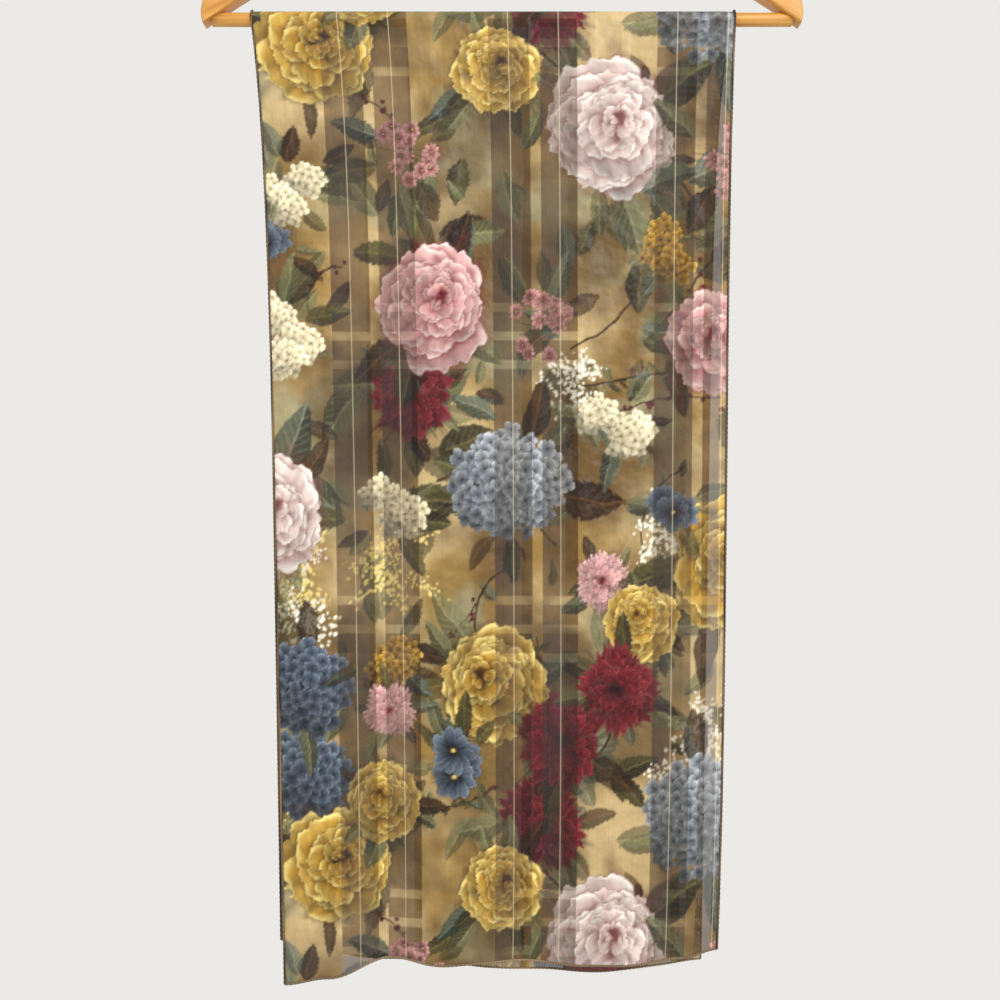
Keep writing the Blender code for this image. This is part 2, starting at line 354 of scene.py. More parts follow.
# Cupped petals in rings round a hollow heart that sits off the middle, drawn from the outside in
def cupped(cloth, x, run, radius, ink, dice, rings):
    tilt = dice.uniform(-2.4, -0.7)
    heartX = x + 0.26 * radius * math.cos(tilt)
    heartRun = run + 0.26 * radius * math.sin(tilt)
    for share, petals in rings:
        middleX = heartX + (x - heartX) * share
        middleRun = heartRun + (run - heartRun) * share
        start = anyTurn(dice)
        order = dice.permutation(petals)
        for number in order:
            turn = start + fullTurn * number / petals + dice.uniform(-0.25, 0.25)
            length = radius * share * dice.uniform(0.82, 1.08)
            width = length * dice.uniform(1.0, 1.45)
            petal(cloth, middleX, middleRun, turn, length, width, ink, dice, dice.uniform(0.6, 0.74), 0.45,
                  0.035, dice.uniform(-0.22, 0.16) - 0.1 * (1 - share))
    disc(cloth, heartX, heartRun, radius * 0.15, ink[2], 0.8, 0.9)
    for number in range(5):
        turn = anyTurn(dice)
        out = radius * 0.07
        petal(cloth, heartX + out * math.cos(turn), heartRun + out * math.sin(turn), turn + 1.6,
              radius * 0.16, radius * 0.07, ink, dice, 0.5, 0.6, 0, 0.05)


# Rings of narrow petals: blunt and notched for a carnation, pointed for a dahlia
def ringed(cloth, x, run, radius, ink, dice, petals, rings, slim, blunt, ragged):
    tilt = anyTurn(dice)
    for ring in range(rings):
        share = 1 - 0.84 * ring / rings
        count = max(7, round(petals * (0.45 + 0.55 * share)))
        start = anyTurn(dice)
        middleX = x + 0.14 * radius * (1 - share) * math.cos(tilt)
        middleRun = run + 0.14 * radius * (1 - share) * math.sin(tilt)
        for number in dice.permutation(count):
            turn = start + fullTurn * number / count + dice.uniform(-0.12, 0.12)
            length = radius * share * dice.uniform(0.80, 1.08)
            petal(cloth, middleX, middleRun, turn, length, length * slim * dice.uniform(0.85, 1.2), ink,
                  dice, 0.72, blunt, ragged, dice.uniform(-0.25, 0.2))
    disc(cloth, x, run, radius * 0.12, ink[2], 0.9, 0.8)


def daisy(cloth, x, run, radius, ink, dice):
    count = dice.integers(9, 14)
    start = anyTurn(dice)
    for number in range(count):
        turn = start + fullTurn * number / count + dice.uniform(-0.1, 0.1)
        petal(cloth, x, run, turn, radius * dice.uniform(0.85, 1.05), radius * 0.5, ink, dice, 0.66, 0.55,
              0.02, dice.uniform(-0.2, 0.15))
    disc(cloth, x, run, radius * 0.22, inks["gold"][2], 0.5)
    disc(cloth, x, run, radius * 0.13, inks["gold"][0], 0.8)


# Four pale petals round a small dark eye
def floret(cloth, x, run, radius, ink, dice, tone):
    start = dice.uniform(0, fullTurn / 4)
    pale = (ink[0], ink[1], (ink[1] + ink[2]) / 2)
    for number in range(4):
        petal(cloth, x, run, start + fullTurn / 4 * number, radius, radius * 0.95, pale, dice, 0.6, 0.5, 0,
              tone + dice.uniform(-0.1, 0.1))
    disc(cloth, x, run, max(radius * 0.15, 0.0009), ink[2] * 0.5, 0.6, 0.9)


# A domed head of many small florets, brightest on the painted light's side
def cluster(cloth, x, run, radius, ink, dice, size):
    lightX, lightRun = floral["light"]
    flat = dice.uniform(0.72, 0.92)
    for number in range(12):
        turn = anyTurn(dice)
        disc(cloth, x + radius * 0.4 * math.cos(turn), run + radius * 0.4 * flat * math.sin(turn),
             radius * 0.5, ink[2], 0.5, 0.55, 0.9)
    count = round(1.7 * (radius / size) ** 2)
    for number in range(count):
        turn = goldenAngle * number
        out = radius * 0.95 * math.sqrt(1 - number / count) * dice.uniform(0.9, 1.08)
        toLight = out * (math.cos(turn) * lightX + math.sin(turn) * lightRun) / radius
        floret(cloth, x + out * math.cos(turn), run + flat * out * math.sin(turn),
               size * dice.uniform(0.8, 1.2), ink, dice, 0.42 * toLight + dice.uniform(-0.20, 0.12))


# Three small clusters that run into each other
def threeHeads(cloth, x, run, radius, ink, dice, size):
    for number in range(3):
        turn = anyTurn(dice)
        cluster(cloth, x + radius * 0.5 * math.cos(turn), run + radius * 0.5 * math.sin(turn), radius * 0.55,
                ink, dice, size)


# Small daisies scattered over a round, "size" being one daisy's share of it
def scattered(cloth, x, run, radius, ink, dice, count, size):
    for number in range(count):
        turn = anyTurn(dice)
        out = radius * math.sqrt(dice.random()) * (1 - size)
        points = stem(x, run, turn, out, dice.uniform(-0.5, 0.5))
        stroke(cloth, points, 0.0008, inks["olive"][1], 0.5)
    for number in range(count):
        turn = anyTurn(dice)
        out = radius * math.sqrt(dice.random()) * (1 - size)
        daisy(cloth, x + out * math.cos(turn), run + out * math.sin(turn), radius * size, ink, dice)


def stroke(cloth, points, width, colour, strength=0.9):
    for x, run in points:
        disc(cloth, x, run, width, colour, 0.6, strength, 0.7)


# The points along a stem that bends as it goes
def stem(x, run, turn, length, bend):
    points = []
    step = floral["pitch"]
    for number in range(round(length / step)):
        points.append((x, run))
        turn += bend * step / length
        x += step * math.cos(turn)
        run += step * math.sin(turn)
    return points


sprig = {
    "twigs": 13,
    "width": 0.0009,
    "pointsApart": 4,               # points between the tufts of specks
    "specks": 3,
    "spread": 0.0035,
    "speck": (0.0009, 0.0019),
}


# Fine twigs hung with specks
def spray(cloth, x, run, radius, dice, ink):
    spread = sprig["spread"]
    for number in range(sprig["twigs"]):
        points = stem(x, run, anyTurn(dice), radius * dice.uniform(0.5, 1.1), dice.uniform(-1.4, 1.4))
        stroke(cloth, points, sprig["width"], inks["sage"][1], 0.5)
        for twigX, twigRun in points[len(points) // 4::sprig["pointsApart"]]:
            for speck in range(sprig["specks"]):
                disc(cloth, twigX + dice.normal(0, spread), twigRun + dice.normal(0, spread),
                     dice.uniform(*sprig["speck"]), ink, 0.5, 0.95)


def leafInk(dice):
    return inks[leafInks[dice.integers(len(leafInks))]]


# Kinds of bloom: what draws each, and its own numbers. A ring is its share of the radius and its petals.
cabbageRose = (cupped, {"rings": ((1.0, 6), (0.82, 6), (0.65, 5), (0.49, 5), (0.35, 4), (0.23, 3))})
peony = (cupped, {"rings": ((1.0, 7), (0.86, 7), (0.71, 6), (0.56, 6), (0.41, 5), (0.27, 4))})
carnation = (ringed, {"petals": 12, "rings": 5, "slim": 0.60, "blunt": 0.4, "ragged": 0.08})
dahlia = (ringed, {"petals": 18, "rings": 6, "slim": 0.34, "blunt": 0.75, "ragged": 0.03})
hydrangea = (cluster, {"size": 0.0066})
lilac = (threeHeads, {"size": 0.0050})
smallDaisies = (scattered, {"count": 15, "size": 0.21})
largeDaisies = (scattered, {"count": 3, "size": 0.58})

# The blooms of one repeat, largest first; "radius" is a range. Those that lean on another bloom stand
# against its side, and the others keep apart.
blooms = [
    {"kind": peony, "ink": "pearl", "count": 2, "radius": (0.044, 0.052), "leans": False},
    {"kind": cabbageRose, "ink": "gold", "count": 3, "radius": (0.040, 0.048), "leans": False},
    {"kind": cabbageRose, "ink": "blush", "count": 2, "radius": (0.042, 0.050), "leans": False},
    {"kind": hydrangea, "ink": "blue", "count": 2, "radius": (0.044, 0.052), "leans": False},
    {"kind": hydrangea, "ink": "navy", "count": 2, "radius": (0.036, 0.044), "leans": True},
    {"kind": dahlia, "ink": "crimson", "count": 2, "radius": (0.032, 0.040), "leans": True},
    {"kind": carnation, "ink": "crimson", "count": 2, "radius": (0.028, 0.036), "leans": True},
    {"kind": cabbageRose, "ink": "gold", "count": 3, "radius": (0.026, 0.034), "leans": True},
    {"kind": lilac, "ink": "ivory", "count": 4, "radius": (0.026, 0.036), "leans": False},
    {"kind": smallDaisies, "ink": "rose", "count": 3, "radius": (0.030, 0.040), "leans": False},
    {"kind": largeDaisies, "ink": "navy", "count": 3, "radius": (0.024, 0.032), "leans": True},
    {"kind": lilac, "ink": "gold", "count": 2, "radius": (0.024, 0.030), "leans": False},
    {"kind": carnation, "ink": "blush", "count": 2, "radius": (0.020, 0.026), "leans": True},
]


# The roomiest of several tries, measured against the blooms already there
def roomiest(dice, radius, leans, taken):
    repeat = floral["repeat"]
    most = -1.0
    for attempt in range(floral["tries"]):
        x = dice.uniform(-0.2 * radius, clothWidth + 0.2 * radius)
        run = dice.uniform(0, repeat)
        if leans:
            host = taken[dice.integers(len(taken))]
            turn = anyTurn(dice)
            apart = 0.86 * (radius + host["radius"])
            x = host["x"] + apart * math.cos(turn)
            run = (host["run"] + apart * math.sin(turn)) % repeat
        if not -0.3 * radius < x < clothWidth + 0.3 * radius:
            continue
        room = 9.0
        for other in taken:
            away = abs(run - other["run"])
            away = min(away, repeat - away)
            room = min(room, math.hypot(x - other["x"], away) / (radius + other["radius"]))
        if room > most:
            most = room
            best = (x, run)
    return best


def spreadBlooms(dice):
    taken = []
    for row in blooms:
        for number in range(row["count"]):
            radius = dice.uniform(*row["radius"])
            x, run = roomiest(dice, radius, row["leans"], taken)
            taken.append({"x": x, "run": run, **row, "radius": radius})
    return taken


def anywhere(dice):
    return dice.uniform(0, clothWidth), dice.uniform(0, floral["repeat"])


def drawFoliage(cloth, dice, taken):
    for number in range(floral["fillers"]):
        leaf(cloth, *anywhere(dice), anyTurn(dice), dice.uniform(*floral["fillerLength"]), leafInk(dice),
             dice)
    spread = floral["berrySpread"]
    for number in range(floral["stems"]):
        points = stem(*anywhere(dice), anyTurn(dice), dice.uniform(*floral["stemLength"]),
                      dice.uniform(-2, 2))
        stroke(cloth, points, dice.uniform(*floral["stemWidth"]), inks["brown"][1])
        # a quarter of the stems bear berries, as many bear leaflets, and the rest are bare
        for nodeX, nodeRun in points[::floral["stemStep"]]:
            if number % 4 == 0:
                disc(cloth, nodeX + dice.normal(0, spread), nodeRun + dice.normal(0, spread),
                     floral["berry"], inks["crimson"][1], 0.4)
            elif number % 2 == 0:
                leaf(cloth, nodeX, nodeRun, anyTurn(dice), dice.uniform(*floral["leaflet"]), leafInk(dice),
                     dice)


def printCloth():
    dice = np.random.default_rng(floral["seed"])
    cloth = Printed(dice)
    taken = spreadBlooms(dice)
    drawFoliage(cloth, dice, taken)
    for number in range(floral["sprays"]):
        speck = inks["ivory"][0] if number % 4 else inks["gold"][0]
        spray(cloth, *anywhere(dice), dice.uniform(*floral["sprayRadius"]), dice, speck)
    for bloom in sorted(taken, key=lambda each: dice.random()):
        radius = bloom["radius"]
        for number in range(floral["collar"]):
            turn = anyTurn(dice)
            out = radius * dice.uniform(0.55, 0.8)
            leaf(cloth, bloom["x"] + out * math.cos(turn), bloom["run"] + out * math.sin(turn),
                 turn + dice.uniform(-0.4, 0.4), radius * dice.uniform(0.6, 1.35), leafInk(dice), dice)
        draw, numbers = bloom["kind"]
        draw(cloth, bloom["x"], bloom["run"], radius, inks[bloom["ink"]], dice, **numbers)
    mottle = cloth.clouds(dice, floral["mottle"])
    cloth.colour *= (0.86 + 0.30 * mottle)[..., None]
    cloth.colour = np.clip(cloth.colour, 0, 1) ** floral["depth"]
    return cloth


printed = printCloth()
print("cloth printed")


# How each fall pulls in below the bar: "quick" within about "reach", "slow" evenly, "late" near the
# foot. "drop" is its length at each place across it. Creases are soft ridges, or troughs where the
# height is below 0, that lean by "lean" on their way from "top" to "foot". Places across are shares.
falls = {
    "front": {
        "facing": -1,
        "slices": 3,
        "pitch": 0.00102,
        "left": {"quick": 0.010, "reach": 0.090, "slow": 0.015, "late": 0.0},
        "right": {"quick": 0.004, "reach": 0.100, "slow": 0.006, "late": 0.005},
        "drop": {0.00: 0.710, 0.10: 0.706, 0.25: 0.691, 0.38: 0.697, 0.55: 0.693, 0.78: 0.698, 0.92: 0.691,
                 1.00: 0.684},
        "ripples": [
            {"waves": 3.4, "height": 0.0016, "phase": 0.3},
            {"waves": 5.9, "height": 0.0011, "phase": 2.1},
        ],
        "creases": [
            {"across": 0.07, "lean": 0.02, "width": 0.022, "height": 0.0017, "top": 0.10, "foot": 0.60},
            {"across": 0.19, "lean": -0.03, "width": 0.035, "height": -0.0022, "top": 0.04, "foot": 0.45},
            {"across": 0.31, "lean": 0.02, "width": 0.018, "height": 0.0014, "top": 0.28, "foot": 0.70},
            {"across": 0.44, "lean": 0.04, "width": 0.040, "height": 0.0027, "top": 0.12, "foot": 0.68},
            {"across": 0.58, "lean": -0.02, "width": 0.020, "height": -0.0015, "top": 0.02, "foot": 0.33},
            {"across": 0.70, "lean": -0.03, "width": 0.030, "height": 0.0021, "top": 0.22, "foot": 0.69},
            {"across": 0.83, "lean": 0.01, "width": 0.024, "height": -0.0018, "top": 0.05, "foot": 0.56},
            {"across": 0.94, "lean": -0.02, "width": 0.020, "height": 0.0017, "top": 0.34, "foot": 0.69},
        ],
    },
    "back": {
        "facing": 1,
        "slices": 2,
        "pitch": 0.0015,
        "left": {"quick": 0.009, "reach": 0.090, "slow": 0.011, "late": 0.0},
        "right": {"quick": 0.0125, "reach": 0.060, "slow": 0.011, "late": 0.0},
        "drop": {0.00: 0.683, 0.25: 0.696, 0.50: 0.702, 0.75: 0.706, 1.00: 0.697},
        "ripples": [
            {"waves": 2.9, "height": 0.0015, "phase": 1.4},
            {"waves": 5.1, "height": 0.0012, "phase": 0.2},
        ],
        "creases": [
            {"across": 0.10, "lean": 0.03, "width": 0.030, "height": 0.0020, "top": 0.08, "foot": 0.66},
            {"across": 0.27, "lean": -0.02, "width": 0.022, "height": -0.0017, "top": 0.20, "foot": 0.69},
            {"across": 0.41, "lean": -0.03, "width": 0.036, "height": 0.0024, "top": 0.05, "foot": 0.50},
            {"across": 0.63, "lean": 0.02, "width": 0.026, "height": 0.0020, "top": 0.15, "foot": 0.68},
            {"across": 0.77, "lean": 0.03, "width": 0.020, "height": -0.0014, "top": 0.03, "foot": 0.38},
            {"across": 0.90, "lean": -0.02, "width": 0.028, "height": 0.0018, "top": 0.24, "foot": 0.67},
        ],
    },
}
drape = {
    "wall": 0.001,
    "fallLength": 0.710,
    "rippleStart": 0.05,
    "hemRadius": 0.001,             # of the space that a hem fills
    "hemThickness": 0.0008,         # of the hem itself
    "overBarColumns": 346,
    "overBarRows": 20,
}
foldRadius = barRadius + gap + drape["wall"] / 2
hemReach = drape["hemRadius"]               # panels run into the middle of their hems
hemLift = drape["hemRadius"] - drape["wall"] / 2
quarterTurn = math.pi / 2 * foldRadius      # cloth from the top of the bar to its side


def dropLength(fall, across):
    places = list(fall["drop"])
    lengths = np.array(list(fall["drop"].values()))
    after = np.clip(np.searchsorted(places, across, side="right"), 1, len(places) - 1)
    start = np.take(places, after - 1)
    share = (across - start) / (np.take(places, after) - start)
    return lengths[after - 1] + share * share * (3 - 2 * share) * (lengths[after] - lengths[after - 1])


def pullIn(edge, below):
    depth = below / drape["fallLength"]
    quick = edge["quick"] * (1 - np.exp(-below / edge["reach"]))
    return quick + edge["slow"] * depth + edge["late"] * depth**6


def creased(fall, across, below):
    total = np.zeros_like(across)
    for crease in fall["creases"]:
        run = (below - crease["top"]) / (crease["foot"] - crease["top"])
        middle = crease["across"] + crease["lean"] * np.clip(run, 0, 1)
        fade = smooth(0, 0.35, run) * smooth(1.15, 0.75, run)
        total += crease["height"] * fade * np.exp(-((across - middle) / crease["width"]) ** 2)
    return total


# Points on a fall between its inset edges, lifted outwards
def fallPoints(fall, across, below, inset, lift=0.0):
    left = edgeLeft + inset + pullIn(fall["left"], below)
    right = edgeRight - inset - pullIn(fall["right"], below)
    sway = np.zeros_like(across)
    for ripple in fall["ripples"]:
        sway += ripple["height"] * np.sin(2 * math.pi * ripple["waves"] * across + ripple["phase"])
    growth = np.maximum(0, below - drape["rippleStart"]) / drape["fallLength"]
    out = foldRadius + lift + growth * sway + creased(fall, across, below)
    return np.stack([left + (right - left) * across, fall["facing"] * out, barZ - below], axis=1)


def barPoints(x, turn, lift=0.0):
    angle = math.pi * turn
    radius = foldRadius + lift
    return np.stack([x, -radius * np.cos(angle), barZ + radius * np.sin(angle)], axis=1)


def placed(name, data):
    piece = bpy.data.objects.new(name, data)
    bpy.context.scene.collection.objects.link(piece)
    return piece


# A flat grid whose points are moved by place(across, along), both from 0 to 1; place gives the points
# and how far along the cloth each one is
def movedGrid(name, columns, rows, place, closed=False):
    mesh = bpy.data.meshes.new(name)
    grid = bmesh.new()
    bmesh.ops.create_grid(grid, x_segments=columns, y_segments=rows, size=0.5)
    grid.to_mesh(mesh)
    grid.free()
    count = len(mesh.vertices)
    spots = np.empty(count * 3, np.float32)
    mesh.vertices.foreach_get("co", spots)
    shares = spots.reshape(-1, 3)[:, :2].astype(float) + 0.5
    points, run = place(shares[:, 0], shares[:, 1])
    mesh.vertices.foreach_set("co", points.astype(np.float32).ravel())
    if closed:
        tube = bmesh.new()
        tube.from_mesh(mesh)
        bmesh.ops.remove_doubles(tube, verts=tube.verts, dist=0.00001)
        bmesh.ops.recalc_face_normals(tube, faces=tube.faces)
        tube.to_mesh(mesh)
        tube.free()
    mesh.shade_smooth()
    return placed(name, mesh), shares, run


def finishPiece(piece, look, nodes):
    piece.data.materials.append(look.material)
    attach(piece, "root")
    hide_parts(*nodes)
    return piece


# Lays the print and the flat cut's own measure on a panel
def dressPanel(piece, shares, run):
    mesh = piece.data
    x = shares[:, 0] * clothWidth
    dye = mesh.color_attributes.new("dye", "FLOAT_COLOR", "POINT")
    dye.data.foreach_set("color", printed.sample(x, run).astype(np.float32).ravel())
    corners = np.empty(len(mesh.loops), np.int32)
    mesh.loops.foreach_get("vertex_index", corners)
    margin = 0.01
    maps = {"OFBake": margin + shares * (1 - 2 * margin), "flat": np.stack([x, run], axis=1)}
    for title, places in maps.items():
        layer = mesh.uv_layers.new(name=title)
        layer.uv.foreach_set("vector", places[corners].astype(np.float32).ravel())


# One stripe of the weave is a broad satin band and a sheer one with a narrow satin band and two fine
# lines in it. Across the sheer band run groups of denser wefts, which fade in and out.
weave = {
    "stripe": 0.126,
    "satin": 0.060,
    "shift": 0.012,
    "fineLines": (0.0745, 0.1120),
    "fineLine": 0.0008,
    "narrowSatin": (0.0900, 0.0980),
    "soft": 0.0008,
    "selvedge": 0.006,
    "weftGroup": 0.215,
    "weftStep": 0.021,
    "weftBars": 3,
    "weftStart": 0.004,
    "weftWidth": 0.0065,
}
chiffonColours = {
    "sheerShade": paint(0.70, 0.65, 0.58),          # painted shade: how much the sheer bands darken and brown the ground
    "sheerShadeOnInk": paint(0.80, 0.78, 0.76),     # and the flowers, a lighter painted shade
    "line": paint(0.90, 0.84, 0.69),
}
# How much of the light the sheer bands stop, and what the rest of the weave and the inks add
opacity = {
    "sheer": 0.79,
    "satin": 0.18,
    "bars": 0.06,
    "lines": 0.12,
    "inks": 0.06,
}


def chiffonLook():
    look = Look("chiffon", Sheen_Weight=0.05, Sheen_Roughness=0.5, Specular_IOR_Level=0.25)
    flat = look.node("ShaderNodeUVMap", {"uv_map": "flat"}, {})
    across = look.node("ShaderNodeSeparateXYZ", {}, {0: flat}, 0)
    run = look.node("ShaderNodeSeparateXYZ", {}, {0: flat}, 1)
    place = (across + weave["shift"]).wrapped(weave["stripe"])
    soft = weave["soft"]
    satin = 1 - place.rise(weave["satin"], soft)
    satin = satin.orMore(place.between(*weave["narrowSatin"], soft))
    satin = satin.orMore(across.rise(clothWidth - weave["selvedge"], soft))
    lines = 0
    for middle in weave["fineLines"]:
        lines = place.between(middle, middle + weave["fineLine"], soft) + lines
    inGroup = run.wrapped(weave["weftGroup"])
    span = weave["weftStep"] * weave["weftBars"]
    start = weave["weftStart"]
    bars = inGroup.wrapped(weave["weftStep"]).between(start, start + weave["weftWidth"], 0.0015)
    patchy = look.noise(flat, 22.0, 1.0).rise(0.46, 0.22)
    bars = bars * (1 - inGroup.rise(span, 0.001)) * (1 - satin) * patchy
    dye = look.node("ShaderNodeVertexColor", {"layer_name": "dye"}, {}, "Color")
    cover = look.node("ShaderNodeVertexColor", {"layer_name": "dye"}, {}, "Alpha")
    cloudy = look.noise(flat, 26.0, 3.0)
    crepe = look.noise(flat, 900.0, 1.0)
    threads = look.node("ShaderNodeMapping", {}, {"Vector": flat, "Scale": (520, 7, 1)})
    threads = look.noise(threads, 1.0, 2.0)
    rumple = look.noise(flat, 55.0, 2.0)
    # painted shade: in the sheer bands the print is darkened and browned, standing in for the shade that
    # falls through the layered cloth; the satin bands keep the print as it is
    sheerShade = look.mix(cover, solid(chiffonColours["sheerShade"]), solid(chiffonColours["sheerShadeOnInk"]))
    sheerShade = look.mix(1.0, dye, sheerShade, "MULTIPLY")
    colour = look.mix(satin + bars * 0.6, sheerShade, dye)
    colour = look.mix(lines * 0.38 + bars * 0.05, colour, solid(chiffonColours["line"]))
    shade = 0.66 + cloudy * 0.20 + crepe * 0.12 + threads * 0.20
    grey = look.node("ShaderNodeCombineColor", {}, {0: shade, 1: shade, 2: shade})
    look.wire("Base Color", look.mix(1.0, colour, grey, "MULTIPLY"))
    stopped = opacity["sheer"] + satin * opacity["satin"] + bars * opacity["bars"] + lines * opacity["lines"]
    look.wire("Alpha", stopped + cover * (1 - satin) * opacity["inks"])
    look.wire("Roughness", 0.66 - satin * 0.28 + threads * 0.10)
    look.relief(rumple + crepe * 0.04, 0.006, 0.70)
    return look


def threadLook(name, dark, light):
    look = Look(name, Roughness=0.75)
    step = look.node("ShaderNodeTexWave", {}, {"Vector": look.objectPlace((1, 1, 1)), "Scale": 160.0})
    rolled = look.noise(look.objectPlace((1, 1, 1)), 16.0, 2.0).rise(0.54, 0.16)
    look.wire("Base Color", look.mix(step * 0.6 + rolled * 0.4, solid(dark), solid(light)))
    return look


woodColours = {
    "dark": paint(0.68, 0.45, 0.17),
    "light": paint(0.81, 0.60, 0.30),
    "pore": paint(0.45, 0.26, 0.10),
}


# "lean" turns the grain to run along a sloping piece
def woodLook(name, lean):
    look = Look(name, Coat_Weight=0.18, Coat_Roughness=0.34, Specular_IOR_Level=0.4)
    grain = look.noise(look.objectPlace((4, 110, 110), lean), 3.0, 5.0)
    pores = look.noise(look.objectPlace((25, 700, 700), lean), 2.0, 2.0)
    banded = grain.rise(0.5, 0.45)
    colour = look.mix(banded, solid(woodColours["dark"]), solid(woodColours["light"]))
    fleck = pores.rise(0.66, 0.10) * 0.35
    look.wire("Base Color", look.mix(fleck, colour, solid(woodColours["pore"])))
    look.wire("Roughness", 0.42 + grain * 0.14)
    look.relief(grain + fleck, 0.0004, 0.2)
    return look


chiffon = chiffonLook()
sideThread = threadLook("side_thread", paint(0.12, 0.08, 0.06), paint(0.52, 0.42, 0.29))
footThread = threadLook("foot_thread", paint(0.34, 0.27, 0.20), paint(0.56, 0.48, 0.36))
armSlope = math.radians(27)
beech = woodLook("beech", 0.0)
beechLeft = woodLook("beech_left", armSlope)
beechRight = woodLook("beech_right", -armSlope)
steel = Look("steel", Base_Color=solid((0.36, 0.36, 0.35)), Metallic=1.0, Roughness=0.26)
print("materials mixed")


hemStitch = {
    "length": 0.0009,
    "turn": 1.6,                    # how far the thread winds round in one stitch
    "sides": 8,
    "sideSwell": 0.16,
    "footSwell": 0.14,
    "footSteps": 400,
    "overBarSteps": 22,
}


# A round rod along a row of points, closed at both ends; "swell" is its overstitching
def rod(name, path, radius, sides, look, nodes, swell=0.0):
    path = np.asarray(path)
    aim = np.gradient(path, axis=0)
    aim /= np.linalg.norm(aim, axis=1)[:, None]
    # the rods bend mostly in one plane, so one axis square to the longest way serves all along
    spare = np.array((0.0, 1.0, 0.0)) if abs(aim[:, 1]).max() < 0.7 else np.array((1.0, 0.0, 0.0))
    side = np.cross(aim, spare)
    side /= np.linalg.norm(side, axis=1)[:, None]
    other = np.cross(side, aim)
    last = len(path) - 1

    def place(around, along):
        at = np.rint(along * last).astype(int)
        turn = 2 * math.pi * around
        thick = radius * (1 + swell * np.sin(at * hemStitch["turn"] + turn))
        thick = np.where((at == 0) | (at == last), 0, thick)
        ring = side[at] * np.cos(turn)[:, None] + other[at] * np.sin(turn)[:, None]
        return path[at] + ring * thick[:, None], at

    piece = movedGrid(name, sides, last, place, closed=True)[0]
    return finishPiece(piece, look, nodes)


# A rod's path with its ends doubled, so that they close square
def closedPath(points):
    ahead = points[0] - (points[1] - points[0]) * 0.001
    return np.concatenate([[ahead], points, points[-1:] + (points[-1:] - points[-2:-1]) * 0.001])


def hemRod(name, points, look, nodes, swell):
    return rod(name, closedPath(points), drape["hemThickness"], hemStitch["sides"], look, nodes,
               swell)


def sideHem(name, fall, edge, start, end, nodes):
    across = 0.0 if edge == "left" else 1.0
    below = np.arange(start, end, hemStitch["length"])
    below = np.append(below, end)
    points = fallPoints(fall, np.full(len(below), across), below, drape["hemRadius"], hemLift)
    return hemRod(name, points, sideThread, nodes, hemStitch["sideSwell"])


def makeFall(side):
    fall = falls[side]
    made = []
    sliceEnds = np.linspace(0, 1, fall["slices"] + 1)
    columns = round((clothWidth - 2 * hemReach) / fall["pitch"])
    rows = round(drape["fallLength"] / fall["slices"] / fall["pitch"])
    for number in range(fall["slices"]):
        high, low = sliceEnds[number], sliceEnds[number + 1]

        def place(across, along):
            share = high + (low - high) * ((1 - along) if side == "front" else along)
            length = dropLength(fall, across) - hemReach
            below = share * length
            points = fallPoints(fall, across, below, hemReach)
            return points, -fall["facing"] * (quarterTurn + below)

        name = f"{side}Fall{number + 1}"
        piece, shares, run = movedGrid(name, columns, rows, place)
        dressPanel(piece, shares, run)
        finishPiece(piece, chiffon, [f"scarf_{side}_fall"])
        for edge in ("left", "right"):
            reach = dropLength(fall, np.array([0.0 if edge == "left" else 1.0]))[0] - drape["hemRadius"]
            start = max(gap, high * reach)
            sideHem(f"{name}Hem{edge.title()}", fall, edge, start, low * reach,
                                [f"hem_{edge}_{side}"])
        if low == 1:
            across = np.linspace(0, 1, hemStitch["footSteps"])
            below = dropLength(fall, across) - drape["hemRadius"]
            points = fallPoints(fall, across, below, hemReach, hemLift)
            hemRod(f"{name}HemFoot", points, footThread, [f"hem_foot_{side}"],
                               hemStitch["footSwell"])
        meanLength = dropLength(fall, np.linspace(0, 1, 50)).mean() / fall["slices"]
        made.append(piece)
    return made


def makeOverBar():
    left = edgeLeft + hemReach
    right = edgeRight - hemReach

    def place(across, along):
        return barPoints(left + (right - left) * across, along), quarterTurn * (1 - 2 * along)

    piece, shares, run = movedGrid("overBar", drape["overBarColumns"], drape["overBarRows"], place)
    dressPanel(piece, shares, run)
    finishPiece(piece, chiffon, ["scarf_over_bar"])
    for edge, x in (("left", edgeLeft + drape["hemRadius"]), ("right", edgeRight - drape["hemRadius"])):
        turn = np.linspace(0, 1, hemStitch["overBarSteps"])
        points = barPoints(np.full(len(turn), x), turn, hemLift)
        hemRod(f"overBarHem{edge.title()}", points, sideThread, [f"hem_{edge}_over_bar"],
                           hemStitch["sideSwell"])


makeFall("front")
makeFall("back")
makeOverBar()
print("cloth hung")


# The hanger: two flat arms that meet in the middle, a round bar between their ends, and a wire hook
hanger = {
    "depth": 0.015,
    "tipX": 0.2195,
    "tipDrop": 0.0045,          # the tips' lower edge below the bar's axis
    "rootZ": -0.104,
    "rootHeight": 0.042,
    "endHeight": 0.030,
    "endStart": 0.204,
    "endBulge": (0.226, 0.012),
    "bow": 0.282,
    "crown": 0.014,
    "edge": 0.003,
    "edgeSegments": 4,
    "sharpFrom": 40,                # degrees
    "steps": 72,
    "endSteps": 16,
    "barHalf": (barHigh[0] - barLow[0]) / 2,
    "barSteps": 40,
    "barSides": 48,
}


def armLower(x):
    crown = hanger["crown"]
    share = (math.hypot(x, crown) - crown) / (math.hypot(hanger["tipX"], crown) - crown)
    fall = barZ - hanger["tipDrop"] - hanger["rootZ"]
    return hanger["rootZ"] + fall * ((1 - hanger["bow"]) * share + hanger["bow"] * share * share)


